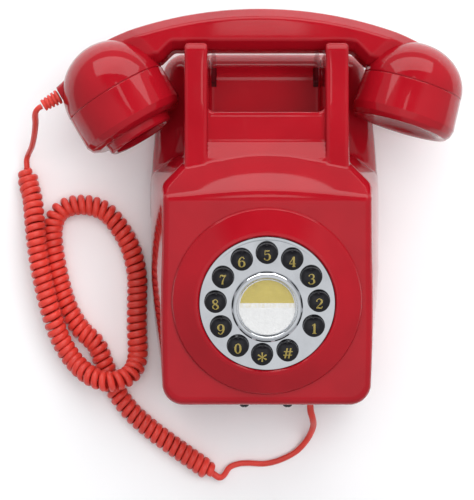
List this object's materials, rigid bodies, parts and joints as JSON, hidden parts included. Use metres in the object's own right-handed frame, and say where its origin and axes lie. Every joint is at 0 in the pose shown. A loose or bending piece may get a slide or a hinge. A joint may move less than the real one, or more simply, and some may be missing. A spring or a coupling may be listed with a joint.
{
  "type": "wall telephone",
  "caption": "Push-button wall telephone with keys set out like a rotary dial, a cradle of two prongs, a lift-off handset and a curly cord.",
  "frame": {"origin": "middle of the back plate's flat face, on the body's middle plane", "axes": "+Z out of the dial, away from the wall; +Y up the wall, towards the handset; +X to the right"},
  "size_m": [0.2571, 0.2723, 0.1036],
  "materials": {
    "red_plastic": "polished moulded plastic, crimson",
    "cord_plastic": "smooth orange-red PVC",
    "chrome": "polished",
    "key_plastic": "polished black with gold figures",
    "card": "printed card, gold and white",
    "clear_plastic": "clear",
    "black_plastic": "fine matt",
    "rubber": "matt silicone",
    "circuit_board": "satin solder resist",
    "steel": "zinc plated",
    "dark_screw": "black oxide"
  },
  "bodies": {
    "telephone": {"case_shell": "red_plastic", "back_plate": "black_plastic", "plate_screw_low_right": "steel", "plate_screw_low_left": "steel", "plate_screw_top_right": "steel", "plate_screw_top_left": "steel", "case_screw_right": "dark_screw", "case_screw_left": "dark_screw", "cord_grommet": "cord_plastic", "dial_surround": "red_plastic", "dial_plate": "chrome", "hub_ring": "chrome", "number_card": "card", "card_window": "clear_plastic", "keypad_membrane": "rubber", "keypad_board": "circuit_board", "main_board": "circuit_board", "ringer_sounder": "black_plastic", "line_terminal": "black_plastic", "hook_switch": "black_plastic", "yoke_spring": "steel", "cord_tail_handset": "cord_plastic", "cord_coil": "cord_plastic", "cord_tail_base": "cord_plastic"},
    "handset": {"handset_handle": "red_plastic", "mouthpiece_cap": "red_plastic", "earpiece_cap": "red_plastic", "microphone_capsule": "steel", "receiver_capsule": "black_plastic", "handset_weight": "steel", "handset_strain_relief": "cord_plastic"},
    "plungers": {"plunger_left": "clear_plastic", "plunger_right": "clear_plastic", "plunger_yoke": "black_plastic"},
    "switch_button": {"hook_switch_button": "cord_plastic"},
    "key_1": {"key_1": "key_plastic"},
    "key_2": {"key_2": "key_plastic"},
    "key_3": {"key_3": "key_plastic"},
    "key_4": {"key_4": "key_plastic"},
    "key_5": {"key_5": "key_plastic"},
    "key_6": {"key_6": "key_plastic"},
    "key_7": {"key_7": "key_plastic"},
    "key_8": {"key_8": "key_plastic"},
    "key_9": {"key_9": "key_plastic"},
    "key_0": {"key_0": "key_plastic"},
    "key_star": {"key_star": "key_plastic"},
    "key_hash": {"key_hash": "key_plastic"}
  },
  "joints": [
    {"name": "press_1", "type": "slide", "parent": "telephone", "child": "key_1", "axis": [0, 0.1576, -0.9875], "range_m": [0, 0.0018], "stiffness_N_per_m": 250, "springref_m": -0.002},
    {"name": "press_2", "type": "slide", "parent": "telephone", "child": "key_2", "axis": [0, 0.1576, -0.9875], "range_m": [0, 0.0018], "stiffness_N_per_m": 250, "springref_m": -0.002},
    {"name": "press_3", "type": "slide", "parent": "telephone", "child": "key_3", "axis": [0, 0.1576, -0.9875], "range_m": [0, 0.0018], "stiffness_N_per_m": 250, "springref_m": -0.002},
    {"name": "press_4", "type": "slide", "parent": "telephone", "child": "key_4", "axis": [0, 0.1576, -0.9875], "range_m": [0, 0.0018], "stiffness_N_per_m": 250, "springref_m": -0.002},
    {"name": "press_5", "type": "slide", "parent": "telephone", "child": "key_5", "axis": [0, 0.1576, -0.9875], "range_m": [0, 0.0018], "stiffness_N_per_m": 250, "springref_m": -0.002},
    {"name": "press_6", "type": "slide", "parent": "telephone", "child": "key_6", "axis": [0, 0.1576, -0.9875], "range_m": [0, 0.0018], "stiffness_N_per_m": 250, "springref_m": -0.002},
    {"name": "press_7", "type": "slide", "parent": "telephone", "child": "key_7", "axis": [0, 0.1576, -0.9875], "range_m": [0, 0.0018], "stiffness_N_per_m": 250, "springref_m": -0.002},
    {"name": "press_8", "type": "slide", "parent": "telephone", "child": "key_8", "axis": [0, 0.1576, -0.9875], "range_m": [0, 0.0018], "stiffness_N_per_m": 250, "springref_m": -0.002},
    {"name": "press_9", "type": "slide", "parent": "telephone", "child": "key_9", "axis": [0, 0.1576, -0.9875], "range_m": [0, 0.0018], "stiffness_N_per_m": 250, "springref_m": -0.002},
    {"name": "press_0", "type": "slide", "parent": "telephone", "child": "key_0", "axis": [0, 0.1576, -0.9875], "range_m": [0, 0.0018], "stiffness_N_per_m": 250, "springref_m": -0.002},
    {"name": "press_star", "type": "slide", "parent": "telephone", "child": "key_star", "axis": [0, 0.1576, -0.9875], "range_m": [0, 0.0018], "stiffness_N_per_m": 250, "springref_m": -0.002},
    {"name": "press_hash", "type": "slide", "parent": "telephone", "child": "key_hash", "axis": [0, 0.1576, -0.9875], "range_m": [0, 0.0018], "stiffness_N_per_m": 250, "springref_m": -0.002},
    {"name": "handset_lift", "type": "slide", "parent": "telephone", "child": "handset", "axis": [0, 0.9404, 0.3401], "range_m": [0, 0.09]},
    {"name": "plunger_rise", "type": "slide", "parent": "telephone", "child": "plungers", "axis": [0, 1, 0], "range_m": [0, 0.005], "stiffness_N_per_m": 40, "springref_m": 0.0075},
    {"name": "switch_button_rise", "type": "slide", "parent": "telephone", "child": "switch_button", "axis": [0, 1, 0], "range_m": [0, 0.001], "stiffness_N_per_m": 100, "springref_m": 0.002}
  ],
  "couplings": [
    {"joint": "plunger_rise", "follows": "handset_lift", "ratio": 0.055},
    {"joint": "switch_button_rise", "follows": "handset_lift", "ratio": 0.011}
  ]
}
